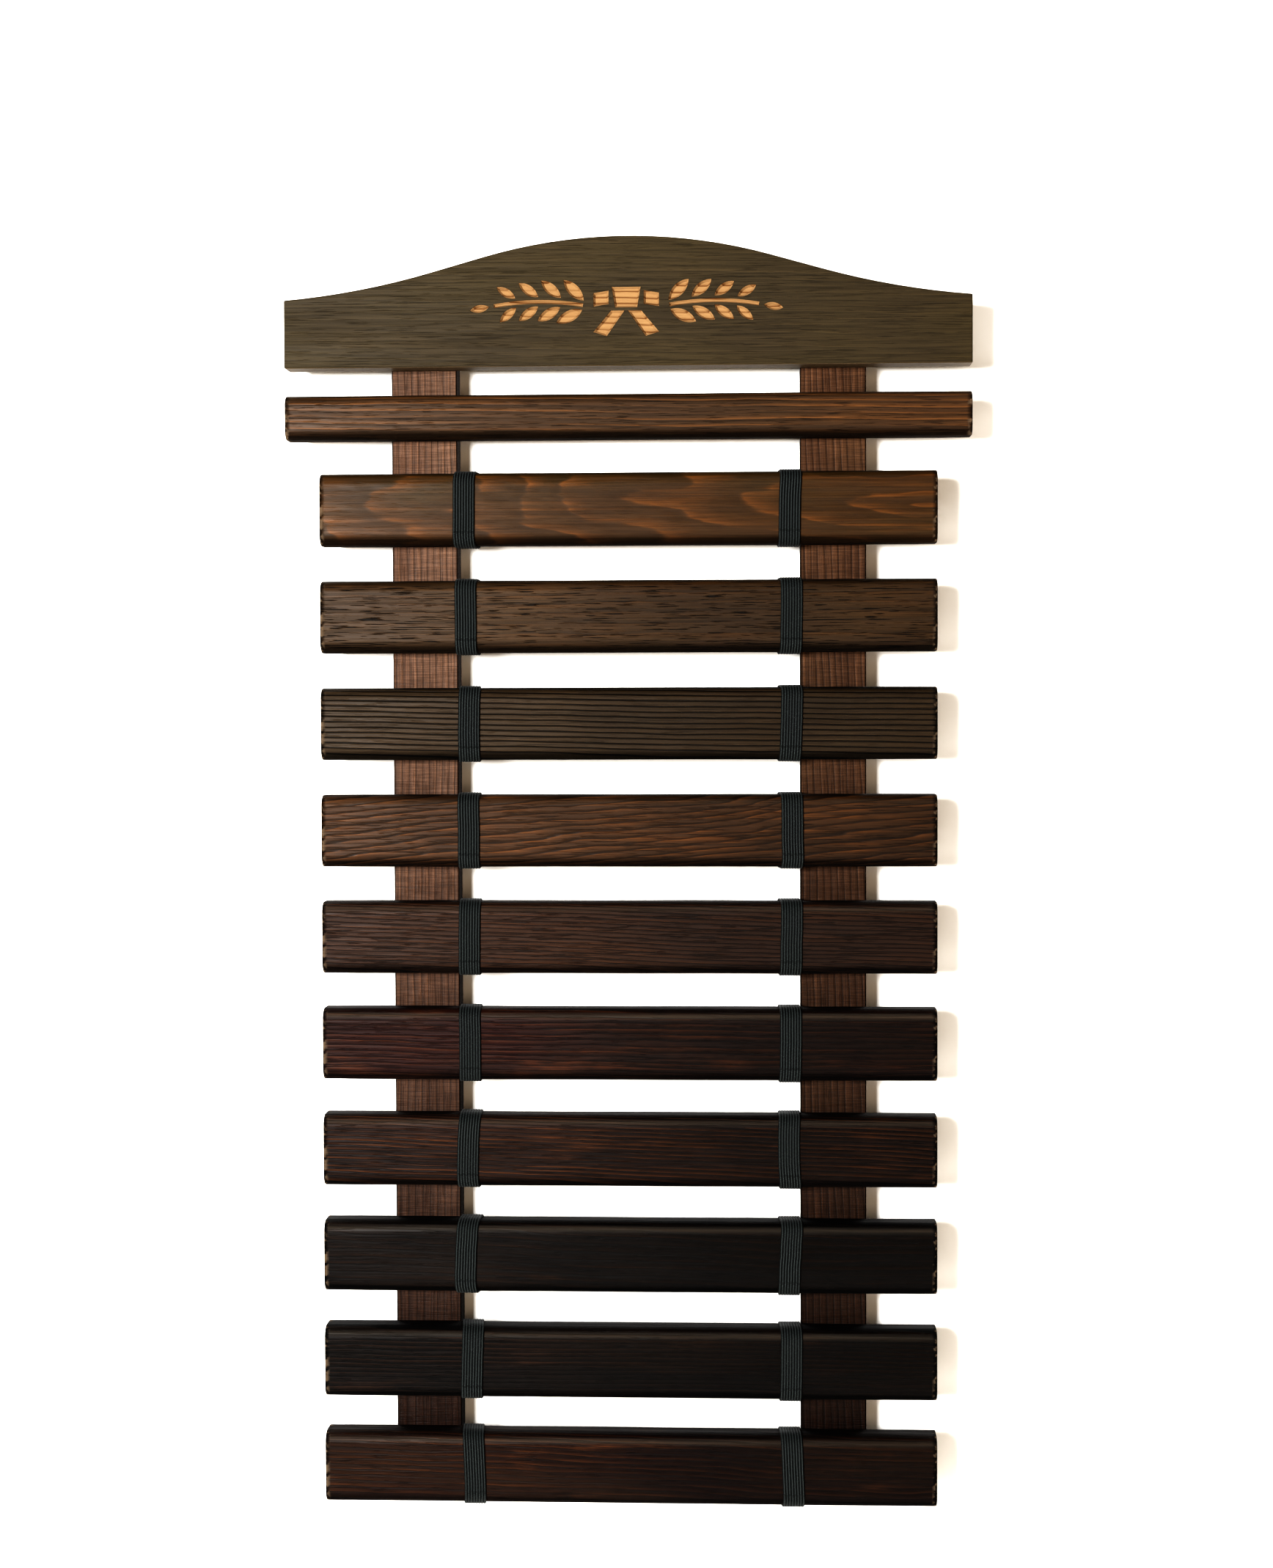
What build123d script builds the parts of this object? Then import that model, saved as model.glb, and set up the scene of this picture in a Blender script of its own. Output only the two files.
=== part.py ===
from build123d import *
import os
from math import cos, radians, sin

# A wall rack that shows rolled or folded martial arts belts. A carved header board, one narrow slat and
# ten wide slats are screwed, from behind, to two upright rails. Two elastic loops on each wide slat hold
# a belt against it, and slide along the slat between the rails.
#
# Frame: X to the right, Y towards the wall, Z up. The wall is the plane y = 0. The origin lies on it,
# halfway between the entry holes of the two keyhole hangers. All sizes are in millimetres.

# Boards
BOARD = 18.0  # thickness of the header board, the slats and the rails
EASED_EDGE = 0.8  # radius that sanding leaves on a sawn edge
HEADER_LENGTH = 400.0
HEADER_PEAK = 75.0  # height at the middle
HEADER_BOTTOM = 8.0  # the header board's lower edge
CREST_RADIUS = 307.0
SHOULDER_RADIUS = 455.0
FLANK_ANGLE = 15.7  # slope of the straight stretch between crest and shoulder
END_ANGLE = 4.6  # slope where the outline meets the board's end

NARROW_LENGTH = 400.0
NARROW_HEIGHT = 26.0
NARROW_TOP = HEADER_BOTTOM - 15.5
NARROW_ROUND = 6.0  # round-over along the narrow slat's front edges

SLAT_COUNT = 10
SLAT_LENGTH = 360.0
SLAT_HEIGHT = 42.5
SLAT_PITCH = 62.7
SLAT_ROUND = 7.0  # round-over along a wide slat's front edges
SLAT_BACK_ROUND = 1.5
FIRST_SLAT_TOP = NARROW_TOP - 45.5
LAST_SLAT_BOTTOM = FIRST_SLAT_TOP - (SLAT_COUNT - 1) * SLAT_PITCH - SLAT_HEIGHT

RAIL_WIDTH = 38.5
RAIL_X = 120.2  # a rail's centre line
RAIL_TOP = HEADER_BOTTOM + 36.0
RAIL_BOTTOM = LAST_SLAT_BOTTOM + 4.0

# Wood screws, driven through the rails into the boards
SCREW_RADIUS = 1.75
SCREW_LENGTH = 30.0
SCREW_HEAD_RADIUS = 3.5
SCREW_TIP = 3.0
RECESS_LENGTH = 1.2  # a crossed recess, as shares of the head's radius
RECESS_WIDTH = 0.26
RECESS_DEPTH = 0.45
SCREW_SPREAD = 10.0  # of a wide slat's two screws, above and below its middle
HEADER_SCREWS = (18.0, 28.0)  # heights above the header's lower edge
CLEARANCE_RADIUS = 1.9
PILOT_PLAY = 0.02
HEAD_PLAY = 0.05
COUNTERSINK = 90

# Keyhole hanger plates, let into the rails' backs
PLATE_WIDTH = 16.0
PLATE_LENGTH = 36.0
PLATE_THICKNESS = 1.5
PLATE_Z = 3.0  # middle of the plate, above its entry hole
ENTRY_RADIUS = 4.5
SLOT_WIDTH = 4.6
SLOT_TOP = 9.0  # centre of the slot's upper end, above the entry hole
POCKET_DEPTH = 8.0
POCKET_PLAY = 1.0  # room around the wall screw's head
PLATE_SCREW_SPREAD = 14.0
PLATE_SCREW_RADIUS = 1.45
PLATE_SCREW_HEAD_RADIUS = 2.7
PLATE_SCREW_LENGTH = 12.0
PLATE_PLAY = 0.1

# Elastic loops
BAND_WIDTH = 12.7
BAND_THICKNESS = 1.1
BAND_GAP = 0.3  # running clearance between a loop and its slat
BAND_RAIL_GAP = 0.9  # between a loop's back and the rail beside it
BAND_SKEW = 1.0  # how much further out a loop stands at the front than at the back

# Carved ornament: a tied belt between two sprigs of leaves
CARVING_DEPTH = 1.8
CARVING_SLOPE = 35  # degrees that the carving's walls lean
CARVING_Z = HEADER_BOTTOM + 35.0
STEM_RADIUS = 150.0
STEM_START_X = 25.0
STEM_TURN = 20.0  # degrees of arc along a stem
STEM_WIDTH = 2.4
STEM_DEPTH = 1.2
LEAF_PAIRS = 4
LEAF_LENGTH = 17.0
LEAF_WIDTH = 6.8
LEAF_ANGLE = 36.0
LEAF_TAPER = 0.08  # how much smaller each pair is than the one before, as a share of the first
LEAF_GAP = 1.4  # uncarved ridge between a stem and its leaves
KNOT_GAP = 1.6  # uncarved ridge between the knot's parts
KNOT_TOP_WIDTH = 17.0
KNOT_FOOT_WIDTH = 13.0
KNOT_HEIGHT = 12.0
KNOT_RISE = 4.5  # the knot's middle, above the carving's
WAIST_LENGTH = 9.0  # the belt, where it leaves the knot towards a side
WAIST_HEIGHT = 8.0
WAIST_DROP = 1.5
TAIL_WIDTH = 8.0
TAIL_DROP = 12.5
TAIL_RUN = 10.5  # how far a tail leans outwards
TAIL_POINT = 2.5  # how much lower its inner corner hangs

WALL = Plane(origin=(0, 0, 0), x_dir=(-1, 0, 0), z_dir=(0, 1, 0))  # faces the wall: local x is -X
FRONT = Plane.XZ.offset(2 * BOARD)  # faces the room: local x is X
SIDES = {"left": -1, "right": 1}


def slat_top(number):
    """The upper edge of a wide slat, counted from 1 at the top."""
    return FIRST_SLAT_TOP - (number - 1) * SLAT_PITCH


def slat_screws(number):
    """The two screw heights of a wide slat."""
    middle = slat_top(number) - SLAT_HEIGHT / 2
    return (middle + SCREW_SPREAD, middle - SCREW_SPREAD)


HEADER_SCREW_HEIGHTS = [HEADER_BOTTOM + height for height in HEADER_SCREWS]
NARROW_SCREW_HEIGHTS = [NARROW_TOP - NARROW_HEIGHT / 2]
ALL_SCREW_HEIGHTS = HEADER_SCREW_HEIGHTS + NARROW_SCREW_HEIGHTS
for slat_number in range(1, SLAT_COUNT + 1):
    ALL_SCREW_HEIGHTS.extend(slat_screws(slat_number))


def save(part, label):
    """Labels a finished piece and writes it as its own file."""
    part.label = label
    export_step(part, f"parts/{label}.step")


def board_section(top, height, front_round, back_round, grow=0.0):
    """The section across a slat, seen along X, with every face moved out by grow."""
    with BuildSketch() as section:
        with Locations((-1.5 * BOARD, top - height / 2)):
            Rectangle(BOARD + 2 * grow, height + 2 * grow)
        fillet(section.vertices().group_by(Axis.X)[0], front_round + grow)
        fillet(section.vertices().group_by(Axis.X)[-1], back_round + grow)
    return section.sketch


def pilot_points(heights):
    """Where the screws enter a board from the rails, in the wall plane's own coordinates."""
    return [(side * RAIL_X, height, -BOARD) for side in SIDES.values() for height in heights]


def slat(length, top, height, front_round, screw_heights):
    """A slat with rounded front edges, eased ends and blind pilot holes in its back."""
    section = board_section(top, height, front_round, SLAT_BACK_ROUND)
    with BuildPart(WALL) as board:
        with BuildSketch(Plane.YZ):
            add(section)
        extrude(amount=length / 2, both=True)
        end_faces = board.faces().group_by(Axis.X)
        fillet(end_faces[0].edges() + end_faces[-1].edges(), EASED_EDGE)
        with Locations(*pilot_points(screw_heights)):
            Hole(SCREW_RADIUS + PILOT_PLAY, depth=SCREW_LENGTH - BOARD)
    return board.part


def header_outline():
    """The header board's outline: a crest, straight flanks and hollow shoulders, mirrored about the middle."""
    crest_end = CREST_RADIUS * sin(radians(FLANK_ANGLE))
    shoulder_run = SHOULDER_RADIUS * (sin(radians(FLANK_ANGLE)) - sin(radians(END_ANGLE)))
    flank_run = HEADER_LENGTH / 2 - crest_end - shoulder_run
    down_slope = (cos(radians(FLANK_ANGLE)), -sin(radians(FLANK_ANGLE)))
    with BuildSketch() as outline:
        with BuildLine():
            crest = CenterArc(
                (0, HEADER_BOTTOM + HEADER_PEAK - CREST_RADIUS),
                CREST_RADIUS,
                90,
                -FLANK_ANGLE,
            )
            flank = PolarLine(crest @ 1, flank_run / cos(radians(FLANK_ANGLE)), direction=down_slope)
            shoulder = JernArc(flank @ 1, down_slope, SHOULDER_RADIUS, FLANK_ANGLE - END_ANGLE)
            corner = (HEADER_LENGTH / 2, HEADER_BOTTOM)
            Line(shoulder @ 1, corner)
            Line(corner, (0, HEADER_BOTTOM))
            mirror(about=Plane.YZ)
        make_face()
    return outline.sketch


def leaf_outline(length, width):
    """A pointed leaf along +X, with its base at the origin."""
    with BuildSketch() as leaf:
        with BuildLine():
            SagittaArc((0, 0), (length, 0), width / 2)
            SagittaArc((length, 0), (0, 0), width / 2)
        make_face()
    return leaf.sketch


def stem_centre():
    """The centre of the arc that the right-hand stem follows."""
    half_turn = radians(STEM_TURN / 2)
    return (STEM_START_X + STEM_RADIUS * sin(half_turn), -STEM_RADIUS * cos(half_turn))


def stem_outline():
    """The right-hand sprig's arched stem."""
    with BuildSketch() as stem:
        with BuildLine():
            CenterArc(stem_centre(), STEM_RADIUS, 90 + STEM_TURN / 2, -STEM_TURN)
        trace(line_width=STEM_WIDTH)
    return stem.sketch


def leaves_outline():
    """The right-hand sprig's leaves: pairs that get smaller along the stem, and one past its tip."""
    centre_x, centre_z = stem_centre()
    base_offset = STEM_WIDTH / 2 + LEAF_GAP
    with BuildSketch() as leaves:
        for pair in range(LEAF_PAIRS + 1):
            size = 1 - LEAF_TAPER * pair
            heading = STEM_TURN / 2 - STEM_TURN * pair / LEAF_PAIRS
            foot_x = centre_x - STEM_RADIUS * sin(radians(heading))
            foot_z = centre_z + STEM_RADIUS * cos(radians(heading))
            leaf = leaf_outline(LEAF_LENGTH * size, LEAF_WIDTH * size)
            if pair == LEAF_PAIRS:
                tip_x = foot_x + base_offset * cos(radians(heading))
                tip_z = foot_z + base_offset * sin(radians(heading))
                with Locations(Location((tip_x, tip_z, 0), heading)):
                    add(leaf)
            else:
                for side in (1, -1):
                    away = radians(heading + side * 90)
                    base_x = foot_x + base_offset * cos(away)
                    base_z = foot_z + base_offset * sin(away)
                    with Locations(Location((base_x, base_z, 0), heading + side * LEAF_ANGLE)):
                        add(leaf)
    return leaves.sketch


def knot_outline():
    """A tied belt: the knot, the belt leaving it on both sides, and its two hanging tails."""
    top = KNOT_RISE + KNOT_HEIGHT / 2
    foot = KNOT_RISE - KNOT_HEIGHT / 2
    tail_top = foot - KNOT_GAP
    waist_start = KNOT_TOP_WIDTH / 2 + KNOT_GAP
    waist_end = waist_start + WAIST_LENGTH
    waist_top = KNOT_RISE + WAIST_HEIGHT / 2
    waist_foot = KNOT_RISE - WAIST_HEIGHT / 2
    with BuildSketch() as knot:
        with BuildLine():
            Polyline(
                (-KNOT_TOP_WIDTH / 2, top),
                (KNOT_TOP_WIDTH / 2, top),
                (KNOT_FOOT_WIDTH / 2, foot),
                (-KNOT_FOOT_WIDTH / 2, foot),
                close=True,
            )
        make_face()
        with BuildLine():
            Polyline(
                (waist_start, waist_top),
                (waist_end, waist_top - WAIST_DROP),
                (waist_end, waist_foot - WAIST_DROP),
                (waist_start, waist_foot),
                close=True,
            )
        make_face()
        with BuildLine():
            Polyline(
                (KNOT_GAP / 2, tail_top),
                (KNOT_GAP / 2 + TAIL_WIDTH, tail_top),
                (KNOT_GAP / 2 + TAIL_WIDTH + TAIL_RUN, tail_top - TAIL_DROP),
                (KNOT_GAP / 2 + TAIL_RUN, tail_top - TAIL_DROP - TAIL_POINT),
                close=True,
            )
        make_face()
        mirror(about=Plane.YZ)
    return knot.sketch


def carve(outline):
    """Places a carving's outline on the header board's front, with its mirror image."""
    with BuildSketch(FRONT) as carving:
        with Locations((0, CARVING_Z)):
            add(outline)
        mirror(about=Plane.YZ)
    return carving.sketch


def header():
    """The header board, with its ornament carved into the front and pilot holes in its back."""
    blank = header_outline()
    deep_carving = carve(leaves_outline()) + carve(knot_outline())
    shallow_carving = carve(stem_outline())
    with BuildPart(WALL) as board:
        with BuildSketch(FRONT.offset(-BOARD)):
            add(blank)
        extrude(amount=BOARD)
        fillet(board.edges(), EASED_EDGE)
        extrude(deep_carving, amount=-CARVING_DEPTH, taper=CARVING_SLOPE, mode=Mode.SUBTRACT)
        extrude(shallow_carving, amount=-STEM_DEPTH, taper=CARVING_SLOPE, mode=Mode.SUBTRACT)
        with Locations(*pilot_points(HEADER_SCREW_HEIGHTS)):
            Hole(SCREW_RADIUS + PILOT_PLAY, depth=SCREW_LENGTH - BOARD)
    return board.part


def keyhole(play, plane):
    """The keyhole's outline, for an entry hole at the plane's origin: an entry hole with a slot above it."""
    with BuildSketch(plane) as outline:
        Circle(ENTRY_RADIUS + play)
        with BuildLine():
            Line((0, 0), (0, SLOT_TOP))
        trace(line_width=SLOT_WIDTH + 2 * play)
        with Locations((0, SLOT_TOP)):
            Circle(SLOT_WIDTH / 2 + play)
    return outline.sketch


def entry_plane(side, depth=0.0):
    """A plane that faces the wall, with its origin at a keyhole's entry, sunk into the rail by depth."""
    return Plane(origin=(side * RAIL_X, -depth, 0), x_dir=WALL.x_dir, z_dir=WALL.z_dir)


def rail(side):
    """An upright rail with its countersunk screw holes, and a recess and a pocket for the hanger plate."""
    with BuildPart(WALL) as board:
        with BuildSketch(WALL):
            with Locations((-side * RAIL_X, (RAIL_TOP + RAIL_BOTTOM) / 2)):
                Rectangle(RAIL_WIDTH, RAIL_TOP - RAIL_BOTTOM)
        extrude(amount=-BOARD)
        fillet(board.edges(), EASED_EDGE)
        with BuildSketch(entry_plane(side)):
            with Locations((0, PLATE_Z)):
                SlotOverall(PLATE_LENGTH + 2 * PLATE_PLAY, PLATE_WIDTH + 2 * PLATE_PLAY, rotation=90)
        extrude(amount=-PLATE_THICKNESS, mode=Mode.SUBTRACT)
        head_room = ENTRY_RADIUS - SLOT_WIDTH / 2 + POCKET_PLAY
        extrude(
            keyhole(head_room, entry_plane(side, PLATE_THICKNESS)),
            amount=PLATE_THICKNESS - POCKET_DEPTH,
            mode=Mode.SUBTRACT,
        )
        with Locations(*[(-side * RAIL_X, height) for height in ALL_SCREW_HEIGHTS]):
            CounterSinkHole(
                CLEARANCE_RADIUS,
                SCREW_HEAD_RADIUS + HEAD_PLAY,
                depth=2 * BOARD,
                counter_sink_angle=COUNTERSINK,
            )
        with Locations(*plate_screw_points(side, PLATE_THICKNESS)):
            Hole(PLATE_SCREW_RADIUS + PILOT_PLAY, depth=PLATE_SCREW_LENGTH - PLATE_THICKNESS)
    return board.part


def plate_screw_points(side, depth):
    """The hanger plate's two screw positions, in the wall plane's own coordinates, sunk by depth."""
    return [(-side * RAIL_X, PLATE_Z + way * PLATE_SCREW_SPREAD, -depth) for way in (1, -1)]


def hanger_plate(side):
    """A steel keyhole plate, flush with the rail's back."""
    with BuildPart(WALL) as plate:
        with BuildSketch(entry_plane(side)):
            with Locations((0, PLATE_Z)):
                SlotOverall(PLATE_LENGTH, PLATE_WIDTH, rotation=90)
        extrude(amount=-PLATE_THICKNESS)
        extrude(keyhole(0.0, entry_plane(side)), amount=-PLATE_THICKNESS, mode=Mode.SUBTRACT)
        with Locations(*plate_screw_points(side, 0.0)):
            CounterSinkHole(
                PLATE_SCREW_RADIUS + PLATE_PLAY,
                PLATE_SCREW_HEAD_RADIUS + HEAD_PLAY,
                depth=2 * PLATE_THICKNESS,
                counter_sink_angle=COUNTERSINK,
            )
    return plate.part


def screw(radius, head_radius, length):
    """A countersunk wood screw with a crossed recess, its head flush with z = 0 and its tip at -length."""
    neck = head_radius - radius
    with BuildPart() as body:
        with BuildSketch(Plane.XZ):
            with BuildLine():
                Polyline(
                    (0, 0),
                    (head_radius, 0),
                    (radius, -neck),
                    (radius, -length + SCREW_TIP),
                    (0, -length),
                    close=True,
                )
            make_face()
        revolve(axis=Axis.Z)
        with BuildSketch(Plane.XY):
            Rectangle(head_radius * RECESS_LENGTH, head_radius * RECESS_WIDTH)
            Rectangle(head_radius * RECESS_WIDTH, head_radius * RECESS_LENGTH)
        extrude(amount=-head_radius * RECESS_DEPTH, mode=Mode.SUBTRACT)
    return body.part


def screw_row(screw_part, points):
    """Copies of one screw at points of the wall plane, as separate solids."""
    with BuildPart(WALL) as row:
        with Locations(*points):
            add(screw_part)
    return row.part


def elastic_band(side, number):
    """An elastic loop round a wide slat, beside a rail's inner edge and slightly askew."""
    top = slat_top(number)
    rail_inside = RAIL_X - RAIL_WIDTH / 2
    outer_edge = rail_inside - BAND_RAIL_GAP
    reach = BAND_WIDTH + BAND_SKEW
    near = -BOARD + BAND_GAP + BAND_THICKNESS
    far = -2 * BOARD - BAND_GAP - BAND_THICKNESS
    rounds = (SLAT_ROUND, SLAT_BACK_ROUND)
    outside = board_section(top, SLAT_HEIGHT, *rounds, grow=BAND_GAP + BAND_THICKNESS)
    inside = board_section(top, SLAT_HEIGHT, *rounds, grow=BAND_GAP)
    with BuildPart() as band:
        with BuildSketch(Plane.YZ.offset(side * (outer_edge + BAND_SKEW))):
            add(outside)
            add(inside, mode=Mode.SUBTRACT)
        extrude(amount=-side * reach)
        with BuildSketch(Plane.XY.offset(top + 2 * BAND_THICKNESS)):
            Polygon(
                (side * outer_edge, near),
                (side * (outer_edge + BAND_SKEW), far),
                (side * (outer_edge + BAND_SKEW - BAND_WIDTH), far),
                (side * (outer_edge - BAND_WIDTH), near),
                align=None,
            )
        extrude(amount=-(SLAT_HEIGHT + 4 * BAND_THICKNESS), mode=Mode.INTERSECT)
    return band.part


os.makedirs("parts", exist_ok=True)

save(header(), "header_board")
save(slat(NARROW_LENGTH, NARROW_TOP, NARROW_HEIGHT, NARROW_ROUND, NARROW_SCREW_HEIGHTS), "narrow_slat")
for slat_number in range(1, SLAT_COUNT + 1):
    wide_slat = slat(SLAT_LENGTH, slat_top(slat_number), SLAT_HEIGHT, SLAT_ROUND, slat_screws(slat_number))
    save(wide_slat, f"slat_{slat_number:02d}")

rail_screw = screw(SCREW_RADIUS, SCREW_HEAD_RADIUS, SCREW_LENGTH)
plate_screw = screw(PLATE_SCREW_RADIUS, PLATE_SCREW_HEAD_RADIUS, PLATE_SCREW_LENGTH)
for side_name, side_sign in SIDES.items():
    save(rail(side_sign), f"{side_name}_rail")
    rail_points = [(-side_sign * RAIL_X, height) for height in ALL_SCREW_HEIGHTS]
    save(screw_row(rail_screw, rail_points), f"{side_name}_rail_screws")
    save(hanger_plate(side_sign), f"{side_name}_hanger_plate")
    save(screw_row(plate_screw, plate_screw_points(side_sign, 0.0)), f"{side_name}_hanger_screws")
    for slat_number in range(1, SLAT_COUNT + 1):
        save(elastic_band(side_sign, slat_number), f"{side_name}_band_{slat_number:02d}")
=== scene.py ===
import math
import random

import bpy
import numpy as np
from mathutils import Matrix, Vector


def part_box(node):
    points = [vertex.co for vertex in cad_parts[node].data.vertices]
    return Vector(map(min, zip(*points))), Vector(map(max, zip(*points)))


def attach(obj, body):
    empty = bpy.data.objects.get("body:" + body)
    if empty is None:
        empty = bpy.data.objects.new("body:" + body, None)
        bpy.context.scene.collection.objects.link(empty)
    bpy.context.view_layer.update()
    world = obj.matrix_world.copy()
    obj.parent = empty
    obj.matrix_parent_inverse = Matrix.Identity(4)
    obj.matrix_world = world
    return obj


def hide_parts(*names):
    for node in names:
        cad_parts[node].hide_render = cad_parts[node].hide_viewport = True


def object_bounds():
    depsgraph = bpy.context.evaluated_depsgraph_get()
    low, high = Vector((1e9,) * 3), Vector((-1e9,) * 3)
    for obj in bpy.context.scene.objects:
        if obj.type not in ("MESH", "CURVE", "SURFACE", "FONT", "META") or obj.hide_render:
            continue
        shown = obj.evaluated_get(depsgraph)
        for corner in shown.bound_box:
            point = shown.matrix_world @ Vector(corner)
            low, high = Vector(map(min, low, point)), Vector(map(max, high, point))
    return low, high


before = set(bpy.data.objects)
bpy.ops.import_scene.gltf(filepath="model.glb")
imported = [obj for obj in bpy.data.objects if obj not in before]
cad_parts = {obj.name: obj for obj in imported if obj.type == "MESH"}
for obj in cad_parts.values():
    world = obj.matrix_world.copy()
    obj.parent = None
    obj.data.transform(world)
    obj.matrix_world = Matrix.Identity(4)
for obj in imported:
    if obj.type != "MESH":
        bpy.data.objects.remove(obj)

# A wall rack for martial arts belts. The frame is the model's own: X to the right, Y towards the wall,
# Z up, in metres. The boards get their grain, wear and hand-sanded edges here, and the elastic loops
# their ribs, their slant and their sewn laps.

cad_low, cad_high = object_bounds()
MM = 0.001
SLAT_COUNT = 10
SIDES = {"left": -1, "right": 1}


# Shader nodes

class Tree:
    """A material's node tree, with short ways to add nodes. A value is a number, a tuple or a socket."""

    def __init__(self, name):
        self.material = bpy.data.materials.new(name)
        self.material.use_nodes = True
        self.nodes = self.material.node_tree.nodes
        self.links = self.material.node_tree.links
        self.nodes.clear()
        self.output = self.nodes.new("ShaderNodeOutputMaterial")

    def put(self, socket, value):
        if isinstance(value, bpy.types.NodeSocket):
            self.links.new(value, socket)
        else:
            socket.default_value = value

    def add(self, kind, inputs, **settings):
        node = self.nodes.new(kind)
        for key, value in settings.items():
            setattr(node, key, value)
        for key, value in inputs.items():
            self.put(node.inputs[key], value)
        return node

    def math(self, operation, a, b=0.0, c=0.0):
        return self.add("ShaderNodeMath", {0: a, 1: b, 2: c}, operation=operation).outputs[0]

    def vector(self, operation, a, b=(0.0, 0.0, 0.0)):
        node = self.add("ShaderNodeVectorMath", {0: a, 1: b}, operation=operation)
        return node.outputs["Value" if operation == "LENGTH" else "Vector"]

    def noise(self, place, stretch, detail=3.0, roughness=0.5, seed=0.0):
        moved = self.vector("ADD", self.vector("MULTIPLY", place, stretch), (seed, seed * 1.7, seed * 0.6))
        inputs = {"Vector": moved, "Scale": 1.0, "Detail": detail, "Roughness": roughness}
        return self.add("ShaderNodeTexNoise", inputs).outputs[0]

    def span(self, value, low, high, to_low=0.0, to_high=1.0, smooth=True):
        inputs = {"Value": value, "From Min": low, "From Max": high, "To Min": to_low, "To Max": to_high}
        kind = "SMOOTHSTEP" if smooth else "LINEAR"
        return self.add("ShaderNodeMapRange", inputs, interpolation_type=kind).outputs[0]

    def mix(self, amount, a, b, blend="MIX"):
        node = self.add("ShaderNodeMix", {0: amount}, data_type="RGBA", blend_type=blend)
        for socket, value in ((node.inputs[6], a), (node.inputs[7], b)):
            if not isinstance(value, bpy.types.NodeSocket):
                value = (*value, 1.0)
            self.put(socket, value)
        return node.outputs[2]

    def ramp(self, value, stops):
        node = self.add("ShaderNodeValToRGB", {0: value})
        stops_in = node.color_ramp.elements
        while len(stops_in) < len(stops):
            stops_in.new(0.5)
        for element, (position, level) in zip(stops_in, stops):
            element.position = position
            element.color = (level, level, level, 1.0)
        return node.outputs[0]

    def surface(self, colour, roughness, height, relief, **fixed):
        bump = self.add("ShaderNodeBump", {"Height": height, "Distance": relief, "Strength": 1.0})
        inputs = {"Base Color": colour, "Roughness": roughness, "Normal": bump.outputs[0], **fixed}
        shader = self.add("ShaderNodeBsdfPrincipled", inputs)
        self.links.new(shader.outputs[0], self.output.inputs["Surface"])
        return self.material


# Wood

WORN = (0.170, 0.125, 0.085)  # bare wood on scuffed ends
PAINTED_SHEEN = (0.062, 0.050, 0.037)  # painted grey sheen along an upper round-over, where light would glance off it
RIGHT_PAINTED_SHADE_SPAN = (-90 * MM, 70 * MM)  # the stretch over which painted shade deepens towards the right
SHADE_AND_END_GRAIN_LEVEL = 0.22  # what is left of the colour's lightness under the painted shade on undersides and tops, and on the darker end grain of the ends
RIM_ROUGHNESS = 0.55  # how much rougher those are than the front
SCUFFS = 0.55
SHINE = 0.11  # specular level of the oiled stain
WOOD = {
    "ground": (0.060, 0.036, 0.019),  # stained earlywood
    "ground_deep": (0.042, 0.028, 0.017),  # the same where the stain took deeper
    "amber": (0.190, 0.080, 0.026),  # latewood and thin stain
    "ring_gap": 2.6 * MM,
    "ring_light": 0.55,  # how much lighter the latewood lines are
    "groove": 0.35,  # how dark the brushed-out line next to each one is
    "pith": (30 * MM, 60 * MM),  # the tree's middle, behind and above the board's own
    "tilt": (0.03, 0.02),  # how the tree's middle runs off along the board
    "wander": 2.2 * MM,
    "patch": (0.52, 0.74),  # the slow noise's levels where amber patches start and are full
    "patch_light": 0.55,
    "pores": 0.5,
    "gloss": 0.38,  # roughness
    "relief": 0.25 * MM,
    "crest": 0.0,  # how grey the painted sheen along the upper round-over is
    "right_painted_shade": 1.0,  # what is left of the colour's lightness right of the middle, under painted shade
    "grain_axis": "x",
}


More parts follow.
